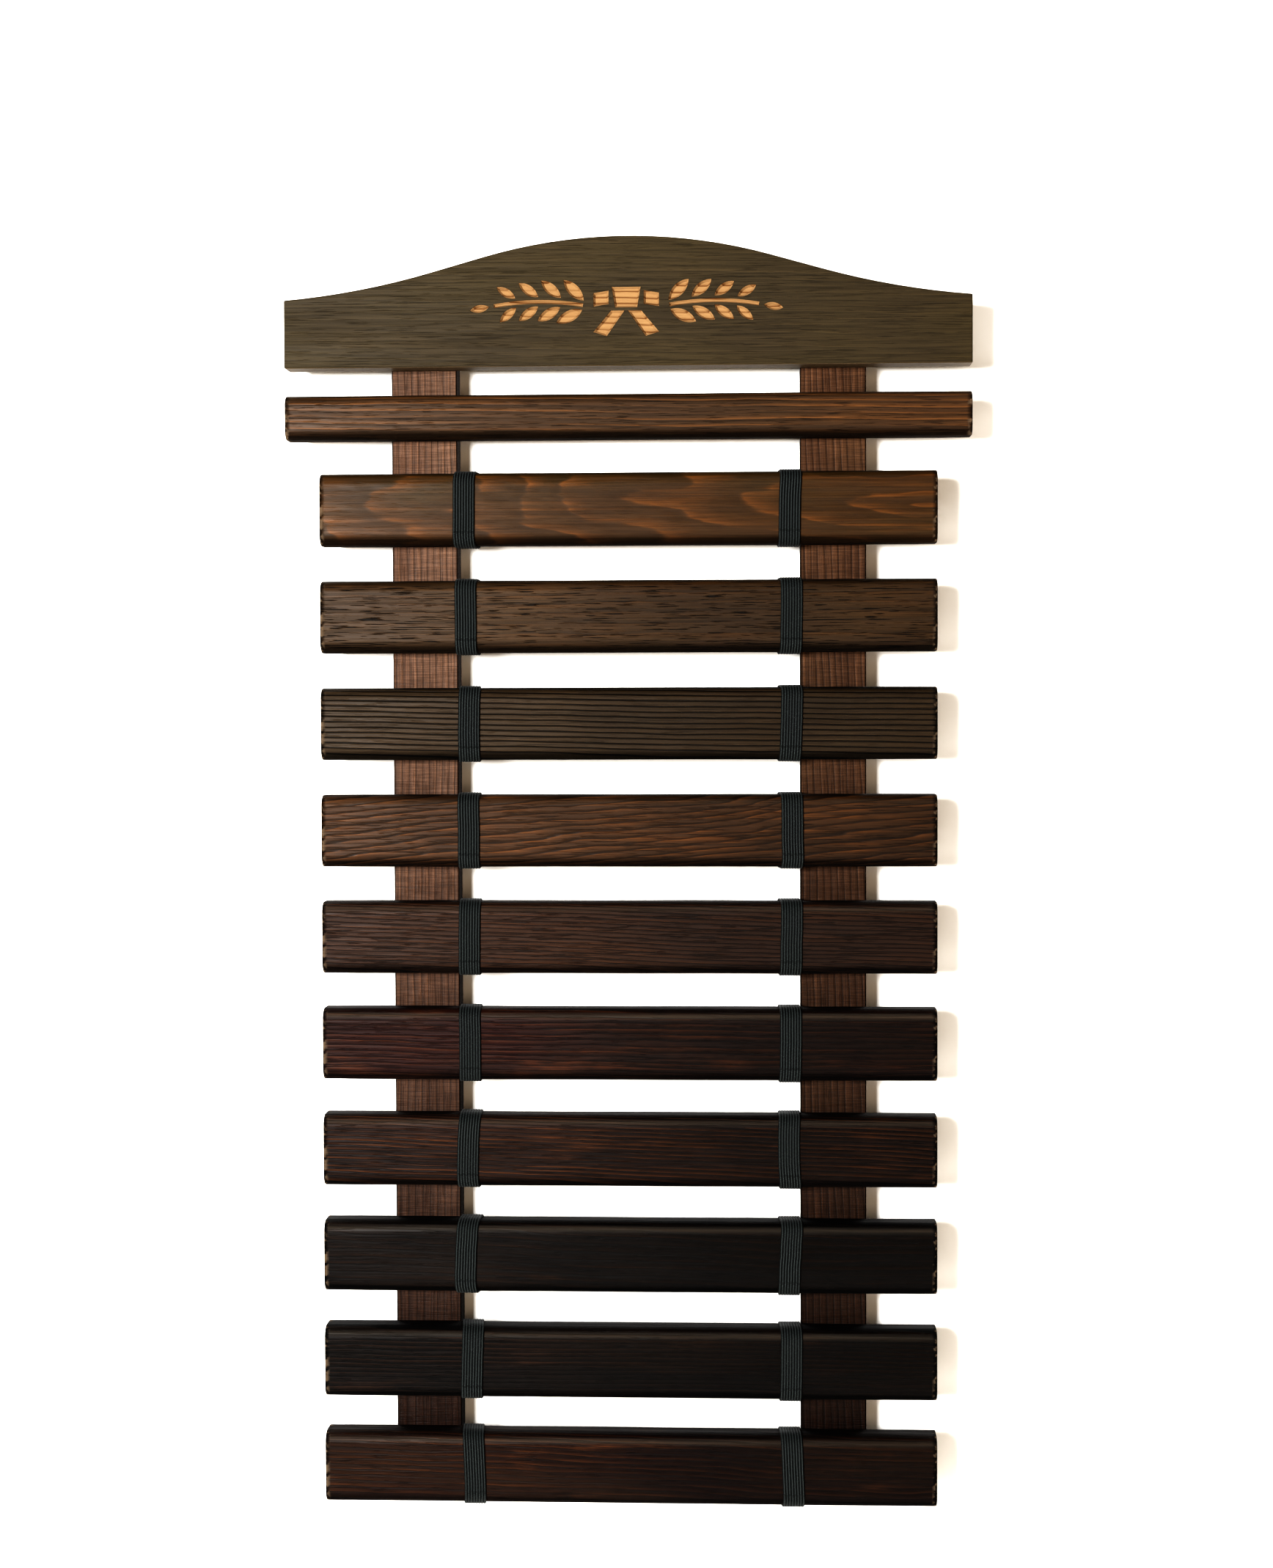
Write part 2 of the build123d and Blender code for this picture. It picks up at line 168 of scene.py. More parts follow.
def wood_layers(tree, centre, seed, look):
    """The grain of one board: its rings, fibres, pores and the patches where the stain is thin."""
    place = tree.add("ShaderNodeTexCoord", {}).outputs["Object"]
    local = tree.vector("SUBTRACT", place, tuple(centre))
    if look["grain_axis"] == "z":
        parts = tree.add("ShaderNodeSeparateXYZ", {0: local}).outputs
        local = tree.add("ShaderNodeCombineXYZ", {0: parts[2], 1: parts[1], 2: parts[0]}).outputs[0]
    along = tree.add("ShaderNodeSeparateXYZ", {0: local}).outputs[0]
    drift = tree.add("ShaderNodeCombineXYZ", {
        0: 0.0,
        1: tree.math("MULTIPLY", along, look["tilt"][0]),
        2: tree.math("MULTIPLY", along, look["tilt"][1]),
    }).outputs[0]
    from_pith = tree.vector("SUBTRACT", local, (0.0, *look["pith"]))
    across = tree.vector("MULTIPLY", tree.vector("ADD", from_pith, drift), (0.0, 1.0, 1.0))
    slow_wander = tree.noise(local, (8.0, 26.0, 26.0), detail=2.0, seed=seed)
    fast_wander = tree.noise(local, (34.0, 210.0, 210.0), detail=2.0, seed=seed + 3.1)
    distance = tree.math("ADD", tree.vector("LENGTH", across), tree.math(
        "ADD",
        tree.math("MULTIPLY", tree.math("SUBTRACT", slow_wander, 0.5), 4 * look["wander"]),
        tree.math("MULTIPLY", tree.math("SUBTRACT", fast_wander, 0.5), 0.7 * look["wander"]),
    ))
    year = tree.math("FRACT", tree.math("DIVIDE", distance, look["ring_gap"]))
    ring = tree.ramp(year, [(0.0, 0.0), (0.40, 0.03), (0.72, 0.45), (0.90, 1.0), (0.97, 0.1)])
    groove = tree.ramp(year, [(0.0, 1.0), (0.10, 0.85), (0.26, 0.0), (0.90, 0.0), (1.0, 1.0)])
    fibre = tree.span(tree.noise(local, (20.0, 1500.0, 1500.0), seed=seed + 5.3), 0.30, 0.70)
    streak = tree.span(tree.noise(local, (7.0, 330.0, 330.0), detail=4.0, seed=seed + 7.9), 0.32, 0.68)
    pore = tree.span(tree.noise(local, (55.0, 1500.0, 1500.0), detail=2.0, seed=seed + 9.7), 0.58, 0.66)
    patch = tree.span(
        tree.noise(local, (12.0, 60.0, 60.0), detail=4.0, roughness=0.6, seed=seed + 12.1), *look["patch"]
    )
    depth = tree.span(tree.noise(local, (6.0, 16.0, 16.0), detail=2.0, seed=seed + 15.4), 0.35, 0.65)
    return {"place": place, "local": local, "ring": ring, "groove": groove, "fibre": fibre,
            "streak": streak, "pore": pore, "patch": patch, "depth": depth}


def grey(tree, level):
    """The same level in all three channels."""
    return tree.add("ShaderNodeCombineXYZ", {0: level, 1: level, 2: level}).outputs[0]


def marks(tree, name):
    """A value stored at the mesh's points."""
    return tree.add("ShaderNodeAttribute", {}, attribute_name=name).outputs["Fac"]


def wood_finish(tree, grain, look, shade_and_end_grain=None):
    """Colour, roughness and relief of stained wood, from its grain.

    The last argument is 1 where a slat faces up or down, where shade is painted, and sideways at its ends,
    whose end grain is darker; it is 0 on the front.
    """
    ground = tree.mix(grain["depth"], look["ground"], look["ground_deep"])
    line = tree.math("MULTIPLY", grain["ring"], tree.span(grain["streak"], 0.0, 1.0, 0.15, 1.0))
    line = tree.math("MULTIPLY", line, look["ring_light"])
    thin = tree.math("MULTIPLY", grain["patch"], tree.span(grain["streak"], 0.1, 0.9, 0.3, 1.0))
    thin = tree.math("MULTIPLY", thin, look["patch_light"])
    lighter = tree.math("MINIMUM", tree.math("ADD", line, thin), 1.0)
    colour = tree.mix(lighter, ground, look["amber"])
    dark_line = tree.math("MULTIPLY", grain["groove"], look["groove"])
    dark_pore = tree.math("MULTIPLY", grain["pore"], look["pores"])
    dark = tree.math("MAXIMUM", dark_line, dark_pore)
    fibres = tree.span(grain["fibre"], 0.0, 1.0, 0.82, 1.14)
    shade = tree.math("MULTIPLY", fibres, tree.math("SUBTRACT", 1.0, dark))
    # Painted shade: the board darker towards the right, away from the light.
    if look["right_painted_shade"] < 1:
        x = tree.add("ShaderNodeSeparateXYZ", {0: grain["place"]}).outputs[0]
        shade = tree.math("MULTIPLY", shade, tree.span(x, *RIGHT_PAINTED_SHADE_SPAN, 1.0, look["right_painted_shade"]))
    roughness = tree.math("ADD", look["gloss"], tree.span(grain["streak"], 0.0, 1.0, 0.05, -0.05))
    roughness = tree.math("ADD", roughness, tree.math("MULTIPLY", dark, 0.2))
    # Painted shade on undersides and along the top, and the darker end grain at the ends.
    if shade_and_end_grain is not None:
        shade = tree.math("MULTIPLY", shade, tree.span(shade_and_end_grain, 0.0, 1.0, 1.0, SHADE_AND_END_GRAIN_LEVEL, smooth=False))
        roughness = tree.math("ADD", roughness, tree.math("MULTIPLY", shade_and_end_grain, RIM_ROUGHNESS))
    colour = tree.mix(1.0, colour, grey(tree, shade), blend="MULTIPLY")
    if shade_and_end_grain is not None:
        # Painted sheen: a grey line of lighter colour along the upper round-over.
        crest = tree.math("MULTIPLY", marks(tree, "crest"), tree.span(grain["streak"], 0.0, 1.0, 0.6, 1.0))
        colour = tree.mix(tree.math("MULTIPLY", crest, look["crest"]), colour, PAINTED_SHEEN)
        scuff = tree.span(tree.noise(grain["local"], (260.0, 260.0, 260.0), seed=2.3), 0.50, 0.64)
        scuff = tree.math("MULTIPLY", scuff, marks(tree, "end"))
        colour = tree.mix(tree.math("MULTIPLY", scuff, SCUFFS), colour, WORN)
    height = tree.math("MULTIPLY", dark, -1.0)
    height = tree.math("ADD", height, tree.math("MULTIPLY", grain["fibre"], 0.12))
    height = tree.math("ADD", height, tree.math("MULTIPLY", grain["streak"], 0.25))
    return colour, roughness, height


def slat_wood(name, centre, seed, changes):
    look = {**WOOD, **changes}
    tree = Tree(name)
    grain = wood_layers(tree, centre, seed, look)
    colour, roughness, height = wood_finish(tree, grain, look, marks(tree, "shade_and_end_grain"))
    return tree.surface(colour, roughness, height, look["relief"], **{"Specular IOR Level": SHINE})


# Meshes

def piece_from(name, points, faces, material):
    """A smooth-shaded piece from its points and faces."""
    mesh = bpy.data.meshes.new(name)
    mesh.from_pydata([tuple(p) for p in points], [], faces)
    mesh.validate()
    mesh.update()
    mesh.polygons.foreach_set("use_smooth", [True] * len(mesh.polygons))
    mesh.materials.append(material)
    piece = bpy.data.objects.new(name, mesh)
    bpy.context.scene.collection.objects.link(piece)
    return piece


def section(low, high, front_round, back_round, step, arc_steps=8):
    """The outline across a board as (y, z) points with outward normals, anticlockwise about X."""
    corners = (
        (low.y + front_round, low.z + front_round, front_round, 180),
        (high.y - back_round, low.z + back_round, back_round, 270),
        (high.y - back_round, high.z - back_round, back_round, 0),
        (low.y + front_round, high.z - front_round, front_round, 90),
    )
    points, normals = [], []
    for y, z, radius, start in corners:
        for k in range(arc_steps + 1):
            angle = math.radians(start + 90 * k / arc_steps)
            normal = np.array((math.cos(angle), math.sin(angle)))
            here = np.array((y, z)) + radius * normal
            if points and k == 0:
                fill_edge(points, normals, here, normal, step)
            points.append(here)
            normals.append(normal)
    fill_edge(points, normals, points[0], normals[0], step)
    return np.array(points), np.array(normals)


def fill_edge(points, normals, end, normal, step):
    """Adds evenly spaced points between the last point and end, along a straight edge."""
    start = points[-1]
    count = max(1, round(np.linalg.norm(end - start) / step))
    for k in range(1, count):
        points.append(start + (end - start) * k / count)
        normals.append(normal)


def waves(places, seed, along, across, count=7):
    """A smooth random value from -1 to 1 at each place. along and across are the usual wave lengths."""
    draw = random.Random(seed)
    total = np.zeros(len(places))
    for _ in range(count):
        turn = 2 * math.pi * np.array((
            draw.choice((-1, 1)) * draw.uniform(0.5, 1.6) / along,
            draw.choice((-1, 1)) * draw.uniform(0.4, 1.5) / across,
            draw.choice((-1, 1)) * draw.uniform(0.4, 1.5) / across,
        ))
        total += np.sin(places @ turn + draw.uniform(0, 2 * math.pi))
    return total / count


# Slats

EASE = 0.8 * MM  # radius of an end's worn edges
EASE_STEPS = 3
BACK_ROUND = 1.5 * MM
NARROW_ROUND = 6.0 * MM
SLAT_ROUND = 7.0 * MM
SANDING = 0.16 * MM  # depth of the slow waves that hand sanding leaves
CHATTER = 0.04 * MM  # depth of the quick ones
SLAT_STEP_ACROSS = 1.1 * MM
SLAT_STEPS_ALONG = 150
UNDERSIDE_PAINTED_SHADE = (0.10, 0.55, 0.95)  # of fade: how far down a face looks, and how much painted shade it gets
TOP_PAINTED_SHADE = (0.80, 0.95, 0.80)  # the same for a face that looks up: a thin line of painted shade along the top
PAINTED_SHEEN_TILT = 0.42  # how far up the round-over's painted sheen line looks
PAINTED_SHEEN_SPREAD = 0.30


def fade(values, start, full, most):
    """0 up to start, rising evenly to most at full."""
    return np.clip((values - start) / (full - start), 0, 1) * most


def slat_piece(node, front_round, material, seed):
    """A slat with hand-sanded faces and eased ends, as a fine mesh."""
    low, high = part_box(node)
    outline, normals = section(low, high, front_round, BACK_ROUND, SLAT_STEP_ACROSS)
    turns = [math.radians(90 * k / EASE_STEPS) for k in range(EASE_STEPS + 1)]
    right = [(high.x - EASE * (1 - math.sin(turn)), EASE * (1 - math.cos(turn)), 1.0) for turn in turns]
    left = [(low.x + high.x - x, inset, shade_and_end_grain) for x, inset, shade_and_end_grain in reversed(right)]
    inner = np.linspace(left[-1][0], right[0][0], SLAT_STEPS_ALONG + 1)[1:-1]
    rings = left + [(x, 0.0, 0.0) for x in inner] + right
    points, directions, shade_and_end_grain_values, crests, ends = [], [], [], [], []
    # Painted shade on faces that look down or straight up.
    lower = fade(-normals[:, 1], *UNDERSIDE_PAINTED_SHADE)
    upper = fade(normals[:, 1], *TOP_PAINTED_SHADE)
    # Where the painted sheen lies: the front half of the upper round-over.
    crest = np.clip(1 - np.abs(normals[:, 1] - PAINTED_SHEEN_TILT) / PAINTED_SHEEN_SPREAD, 0, 1) * (normals[:, 0] < 0)
    for x, inset, shade_and_end_grain in rings:
        ring = outline - normals * inset
        points.append(np.column_stack((np.full(len(ring), x), ring)))
        directions.append(np.column_stack((np.zeros(len(ring)), normals)))
        shade_and_end_grain_values.extend(np.maximum(shade_and_end_grain, np.maximum(lower, upper)))
        crests.extend(crest * (1 - shade_and_end_grain))
        ends.extend([shade_and_end_grain * (1 - inset / EASE)] * len(ring))
    points, directions = np.vstack(points), np.vstack(directions)
    sanding = SANDING * waves(points, seed, 150 * MM, 45 * MM)
    chatter = CHATTER * waves(points, seed + 50, 24 * MM, 14 * MM)
    points += directions * (sanding + chatter - SANDING)[:, None]
    count = len(outline)
    faces = [list(range(count))[::-1]]
    for r in range(len(rings) - 1):
        for k in range(count):
            a, b = r * count + k, r * count + (k + 1) % count
            faces.append([a, b, b + count, a + count])
    faces.append([len(points) - count + k for k in range(count)])
    piece = piece_from(f"{node}_board", points, faces, material)
    for label, values in (("shade_and_end_grain", shade_and_end_grain_values), ("crest", crests), ("end", ends)):
        piece.data.attributes.new(label, "FLOAT", "POINT").data.foreach_set("value", values)
    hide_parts(node)
    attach(piece, "rack")


OLIVE = (0.034, 0.022, 0.0085)
BROWN = (0.038, 0.020, 0.0078)
ORANGE = (0.112, 0.047, 0.013)

# Changes to WOOD, from the top slat down
SLAT_LOOKS = [
    # cathedral figure with orange patches
    {"ground": OLIVE, "ground_deep": BROWN, "amber": ORANGE, "pith": (20 * MM, 4 * MM), "tilt": (0.17, 0.02),
     "ring_gap": 8.0 * MM, "wander": 6.0 * MM, "ring_light": 0.62, "patch": (0.50, 0.70), "patch_light": 0.35,
     "groove": 0.10, "pores": 0.15},
    # plain, with short dark pores
    {"ground": (0.042, 0.025, 0.012), "ground_deep": (0.034, 0.020, 0.010), "amber": (0.095, 0.045, 0.017),
     "ring_light": 0.20, "pores": 0.85, "patch_light": 0.20, "pith": (60 * MM, -90 * MM),
     "ring_gap": 4.4 * MM, "groove": 0.25, "right_painted_shade": 0.78},
    # dense dark grooves
    {"ground": (0.033, 0.022, 0.0120), "ground_deep": (0.027, 0.018, 0.010), "amber": (0.064, 0.040, 0.022),
     "ring_light": 0.30, "groove": 0.90, "ring_gap": 3.1 * MM, "pith": (40 * MM, 200 * MM),
     "tilt": (0.0, 0.02), "wander": 1.1 * MM, "patch_light": 0.12, "relief": 0.40 * MM, "pores": 0.2,
     "right_painted_shade": 0.85},
    # wavy, orange brown
    {"ground": (0.040, 0.021, 0.010), "ground_deep": (0.030, 0.016, 0.008), "amber": (0.130, 0.056, 0.019),
     "crest": 0.25, "ring_light": 0.60, "groove": 0.55, "ring_gap": 3.6 * MM, "pith": (20 * MM, -60 * MM),
     "tilt": (0.05, -0.07), "wander": 3.6 * MM, "patch_light": 0.30, "right_painted_shade": 0.70},
    # fine dark lines
    {"ground": (0.029, 0.015, 0.009), "ground_deep": (0.022, 0.012, 0.008), "amber": (0.085, 0.036, 0.015),
     "crest": 0.45, "ring_light": 0.35, "groove": 0.65, "ring_gap": 2.3 * MM, "pith": (50 * MM, 120 * MM),
     "wander": 1.2 * MM, "pores": 0.6, "patch": (0.58, 0.78), "patch_light": 0.4, "right_painted_shade": 0.80},
    # darker, red tints
    {"ground": (0.013, 0.0065, 0.0045), "ground_deep": (0.016, 0.0045, 0.0032),
     "amber": (0.082, 0.031, 0.014), "ring_light": 0.50, "groove": 0.5, "crest": 0.75, "ring_gap": 3.0 * MM,
     "pith": (35 * MM, -140 * MM), "wander": 1.8 * MM, "patch_light": 0.7, "right_painted_shade": 0.50},
    # fine amber lines
    {"ground": (0.016, 0.0075, 0.0048), "ground_deep": (0.007, 0.0036, 0.0026),
     "amber": (0.112, 0.044, 0.016), "ring_light": 0.62, "groove": 0.5, "crest": 0.65, "ring_gap": 2.1 * MM,
     "pith": (70 * MM, 110 * MM), "wander": 1.0 * MM, "patch_light": 0.45, "right_painted_shade": 0.42},
    # nearly black, smoother
    {"ground": (0.0080, 0.0050, 0.0036), "ground_deep": (0.0038, 0.0026, 0.0021),
     "amber": (0.055, 0.024, 0.011), "crest": 0.5, "ring_light": 0.18, "ring_gap": 3.6 * MM, "groove": 0.3,
     "patch": (0.60, 0.80), "patch_light": 0.6, "relief": 0.16 * MM, "right_painted_shade": 0.50},
    # nearly black, fine lines
    {"ground": (0.0100, 0.0060, 0.0042), "ground_deep": (0.0034, 0.0024, 0.0019),
     "amber": (0.050, 0.024, 0.013), "crest": 0.5, "ring_light": 0.32, "ring_gap": 2.4 * MM,
     "pith": (55 * MM, -130 * MM), "wander": 1.0 * MM, "patch_light": 0.35, "groove": 0.5,
     "right_painted_shade": 0.42},
    # dark red brown with amber flecks
    {"ground": (0.0160, 0.0075, 0.0040), "ground_deep": (0.0090, 0.0028, 0.0019),
     "amber": (0.100, 0.038, 0.013), "crest": 0.5, "ring_light": 0.35, "ring_gap": 3.0 * MM,
     "patch": (0.56, 0.74), "patch_light": 0.6, "pith": (25 * MM, 90 * MM), "right_painted_shade": 0.45},
]
NARROW_LOOK = {
    "ground": (0.046, 0.025, 0.012), "ground_deep": (0.038, 0.022, 0.011), "amber": (0.155, 0.072, 0.025),
    "ring_light": 0.62, "ring_gap": 3.4 * MM, "pith": (60 * MM, 190 * MM), "tilt": (0.0, 0.012),
    "wander": 1.2 * MM, "patch_light": 0.25, "groove": 0.2,
}


def make_slats():
    """The narrow slat, as number 0, and the wide ones."""
    for number in range(SLAT_COUNT + 1):
        node = f"slat_{number:02d}" if number else "narrow_slat"
        look = SLAT_LOOKS[number - 1] if number else NARROW_LOOK
        low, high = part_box(node)
        material = slat_wood(f"{node}_wood", (low + high) / 2, 17.0 * number + 4.0, look)
        slat_piece(node, SLAT_ROUND if number else NARROW_ROUND, material, seed=number)


def paint(node, material):
    """Gives a CAD node its material."""
    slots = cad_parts[node].data.materials
    slots.clear()
    slots.append(material)


# Header board

HONEY = (0.260, 0.165, 0.082)
HONEY_DARK = (0.115, 0.056, 0.021)
BURNT = (0.020, 0.010, 0.005)
# Painted light on the header's underside, lighter than its stain.
PAINTED_UNDERSIDE_LIGHT = (0.110, 0.080, 0.050)
CARVING_HALF_WIDTH = 91 * MM
CARVING_HEIGHTS = (14 * MM, 51 * MM)  # above the board's lower edge
CARVING_REACH = 2.5 * MM  # deeper than the carving, behind the board's face
CARVING_LIP = 0.03 * MM  # the carving's dark rim starts this far behind the face
BURNT_DEPTHS = (0.06 * MM, 0.22 * MM)  # behind the face, where the burnt rim starts to end and has ended
UNDERSIDE_LIGHT_HEIGHTS = (0.35 * MM, 0.10 * MM)  # above the lower edge, where the painted light on the underside starts and is full
END_DEPTHS = (0.6 * MM, 0.2 * MM)  # from the board's ends, where they start to be rougher and are roughest


def make_header():
    """Matt olive brown outside, bare honey-coloured wood in the carving, and painted light on its underside.
    """
    low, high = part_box("header_board")
    look = {**WOOD, "ground": (0.038, 0.028, 0.013), "ground_deep": (0.034, 0.025, 0.013),
            "amber": (0.066, 0.045, 0.020), "ring_gap": 3.6 * MM, "ring_light": 0.22, "groove": 0.14,
            "pith": (50 * MM, 160 * MM), "tilt": (0.05, 0.0), "wander": 2.0 * MM, "patch_light": 0.2,
            "pores": 0.35, "gloss": 0.50, "relief": 0.16 * MM}
    tree = Tree("header_wood")
    grain = wood_layers(tree, (low + high) / 2, 31.0, look)
    colour, roughness, height = wood_finish(tree, grain, look)
    x, y, z = tree.add("ShaderNodeSeparateXYZ", {0: grain["place"]}).outputs[:3]
    inside = tree.math("LESS_THAN", tree.math("ABSOLUTE", x), CARVING_HALF_WIDTH)
    above = tree.math("GREATER_THAN", z, low.z + CARVING_HEIGHTS[0])
    below = tree.math("LESS_THAN", z, low.z + CARVING_HEIGHTS[1])
    in_front = tree.math("LESS_THAN", y, low.y + CARVING_REACH)
    window = tree.math("MULTIPLY", inside, in_front)
    window = tree.math("MULTIPLY", window, tree.math("MULTIPLY", above, below))
    cut = tree.math("MULTIPLY", window, tree.math("GREATER_THAN", y, low.y + CARVING_LIP))
    fresh = tree.math("MULTIPLY", cut, tree.span(y, *(low.y + depth for depth in BURNT_DEPTHS)))
    streaks = tree.span(grain["streak"], 0.0, 0.6, 0.4, 1.0)
    stripes = tree.math("MULTIPLY", tree.span(grain["ring"], 0.10, 0.80), streaks)
    bare = tree.mix(stripes, HONEY, HONEY_DARK)
    bare = tree.mix(tree.math("MULTIPLY", grain["fibre"], 0.22), bare, HONEY_DARK)
    # Painted light: the underside coloured lighter, as if lit.
    underside_light = tree.span(z, *(low.z + height for height in UNDERSIDE_LIGHT_HEIGHTS))
    colour = tree.mix(tree.math("MULTIPLY", underside_light, 0.8), colour, PAINTED_UNDERSIDE_LIGHT)
    colour = tree.mix(cut, colour, BURNT)
    colour = tree.mix(fresh, colour, bare)
    ends = tree.span(tree.math("ABSOLUTE", x), *(high.x - depth for depth in END_DEPTHS))
    roughness = tree.math("ADD", roughness, tree.math("MULTIPLY", tree.math("MAXIMUM", fresh, ends), 0.4))
    paint("header_board", tree.surface(colour, roughness, height, look["relief"],
                                       **{"Specular IOR Level": SHINE}))


# Rails

# Each rail's two stains, how far below its top its colour starts to darken, and what tints it at its foot
RAIL_STAINS_AND_FOOT_DARKENING = {
    "left": ((0.120, 0.072, 0.048), (0.095, 0.053, 0.034), 190 * MM, (0.13, 0.085, 0.070)),
    "right": ((0.088, 0.047, 0.024), (0.070, 0.035, 0.018), 0.0, (0.08, 0.045, 0.036)),
}
RAIL_SIDE_PAINTED_SHADE = (1.1 * MM, 0.2 * MM)  # from a rail's sides, where the painted shade on them starts and is darkest


def make_rails():
    """Rails with grain up them, fine sanding scratches across, and painted shade on their sides. Their colour
    darkens downwards.
    """
    for side, sign in SIDES.items():
        low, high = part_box(f"{side}_rail")
        ground, ground_deep, drop, foot_tint = RAIL_STAINS_AND_FOOT_DARKENING[side]
        look = {**WOOD, "grain_axis": "z", "ground": ground, "ground_deep": ground_deep,
                "amber": (0.190, 0.100, 0.054), "ring_gap": 3.4 * MM, "ring_light": 0.40, "wander": 1.2 * MM,
                "pith": (50 * MM, sign * 90 * MM), "patch_light": 0.3, "gloss": 0.46, "relief": 0.20 * MM,
                "groove": 0.4, "pores": 0.3}
        tree = Tree(f"{side}_rail_wood")
        grain = wood_layers(tree, (low + high) / 2, 47.0 + 6.0 * sign, look)
        colour, roughness, height = wood_finish(tree, grain, look)
        place = tree.add("ShaderNodeSeparateXYZ", {0: grain["place"]}).outputs
        # Darker towards the foot.
        down = tree.span(place["Z"], high.z - drop, low.z, smooth=False)
        colour = tree.mix(down, colour, tree.mix(1.0, colour, foot_tint, blend="MULTIPLY"))
        scratch = tree.noise(grain["place"], (60.0, 300.0, 2000.0), detail=3.0, seed=8.0)
        scratch = tree.span(scratch, 0.30, 0.70)
        shade = tree.span(scratch, 0.0, 1.0, 0.76, 1.16)
        # Painted shade on the rails' side faces and the edges next to them.
        off_middle = tree.math("ABSOLUTE", tree.math("SUBTRACT", place["X"], (low.x + high.x) / 2))
        edge = tree.span(off_middle, *((high.x - low.x) / 2 - depth for depth in RAIL_SIDE_PAINTED_SHADE))
        shade = tree.math("MULTIPLY", shade, tree.span(edge, 0.0, 1.0, 1.0, 0.25))
        roughness = tree.math("ADD", roughness, tree.math("MULTIPLY", edge, 0.5))
        colour = tree.mix(1.0, colour, grey(tree, shade), blend="MULTIPLY")
        height = tree.math("ADD", height, tree.math("MULTIPLY", scratch, 0.5))
        paint(f"{side}_rail", tree.surface(colour, roughness, height, look["relief"],
                                           **{"Specular IOR Level": SHINE}))


# Steel

def steel(name, colour, worn):
    """Zinc plating: slightly mottled, with fine brush marks and duller patches."""
    tree = Tree(name)
    place = tree.add("ShaderNodeTexCoord", {}).outputs["Object"]
    mottle = tree.span(tree.noise(place, (260.0, 260.0, 260.0), detail=3.0), 0.35, 0.65)
    brush = tree.noise(place, (400.0, 400.0, 9000.0), detail=2.0)
    tint = tree.mix(mottle, colour, worn)
    roughness = tree.span(mottle, 0.0, 1.0, 0.34, 0.52)
    return tree.surface(tint, roughness, brush, 0.03 * MM, **{"Metallic": 1.0})


def make_hardware():
    """Yellow zinc on the screws, bright zinc on the keyhole plates."""
    yellow = steel("yellow_zinc", (0.55, 0.41, 0.17), (0.38, 0.29, 0.14))
    bright = steel("bright_zinc", (0.46, 0.47, 0.50), (0.30, 0.31, 0.34))
    for side in SIDES:
        paint(f"{side}_rail_screws", yellow)
        paint(f"{side}_hanger_screws", yellow)
        paint(f"{side}_hanger_plate", bright)


# Elastic loops

BAND_WIDTH = 12.7 * MM
BAND_LIFT = 0.12 * MM  # between the slat and the elastic
BAND_THICKNESS = 0.95 * MM
RIB_HEIGHT = 0.24 * MM
RIBS = 8
STITCH = 0.85 * MM
LAP = 15 * MM
PATH_STEP = 1.3 * MM
WOBBLE = 0.12 * MM
ELASTIC_BLACK = (0.0020, 0.0026, 0.0027)
ELASTIC_CROWN_HIGHLIGHT = (0.046, 0.055, 0.053)  # on top of the ribs: a painted highlight, broken by the knit's stitches
LINT = (0.040, 0.045, 0.044)
FRONT_SKEW = 1.0 * MM  # how much further out a loop's front stands than its back, before its own shift

# How far out each loop's own slant moves its front, in mm: at the slat's top, middle and foot.
FRONT_SHIFTS = {
    "left": [
        (0.4, 0.5, 0.7), (-0.2, -0.4, -0.4), (-2.6, -2.0, -2.2), (-1.3, -1.6, -1.5), (-2.1, -1.7, -1.6),
        (-1.5, -1.8, -1.7), (-1.5, -0.3, -0.1), (0.0, 1.3, 1.5), (-2.9, -2.2, -1.6), (-2.4, -3.4, -3.8),
    ],
    "right": [
        (0.8, -0.1, -0.2), (1.0, 0.9, 0.5), (1.3, 0.8, 0.0), (1.2, 1.3, 1.6), (1.1, 0.7, 0.3),
        (0.3, 0.2, -0.2), (-0.5, -1.0, 0.2), (1.0, -0.2, -1.1), (0.6, 0.4, 0.0), (0.4, 1.2, 2.0),
    ],
}


def elastic():
    """Black knitted elastic: a painted highlight along each rib's crown, broken into a row of stitches, and a
    slightly blue-green cast.
    """
    tree = Tree("black_elastic")
    place = tree.add("ShaderNodeUVMap", {}, uv_map="loop").outputs[0]
    along, across = tree.add("ShaderNodeSeparateXYZ", {0: place}).outputs[:2]
    rib = tree.math("ABSOLUTE", tree.math("SINE", tree.math("MULTIPLY", across, math.pi)))
    row = tree.math("FRACT", tree.math("MULTIPLY", tree.math("FLOOR", across), 0.5))
    stitch = tree.math("SINE", tree.math("MULTIPLY", tree.math("ADD", along, row), 2 * math.pi))
    stitch = tree.span(stitch, -0.6, 0.9)
    object_place = tree.add("ShaderNodeTexCoord", {}).outputs["Object"]
    lint = tree.span(tree.noise(object_place, (900.0, 900.0, 900.0), detail=3.0), 0.45, 0.75)
    # Painted highlight on the rib crowns, in a row of knit stitches.
    crown_highlight = tree.span(rib, 0.78, 1.0)
    light = tree.math("MULTIPLY", crown_highlight, tree.span(stitch, 0.0, 1.0, 0.35, 1.0))
    colour = tree.mix(light, ELASTIC_BLACK, ELASTIC_CROWN_HIGHLIGHT)
    colour = tree.mix(tree.math("MULTIPLY", lint, 0.12), colour, LINT)
    height = tree.math("ADD", tree.math("MULTIPLY", stitch, 0.6), tree.math("MULTIPLY", lint, 0.4))
    return tree.surface(colour, 0.78, height, 0.12 * MM,
                        **{"Sheen Weight": 0.03, "Sheen Roughness": 0.45, "Specular IOR Level": 0.15})


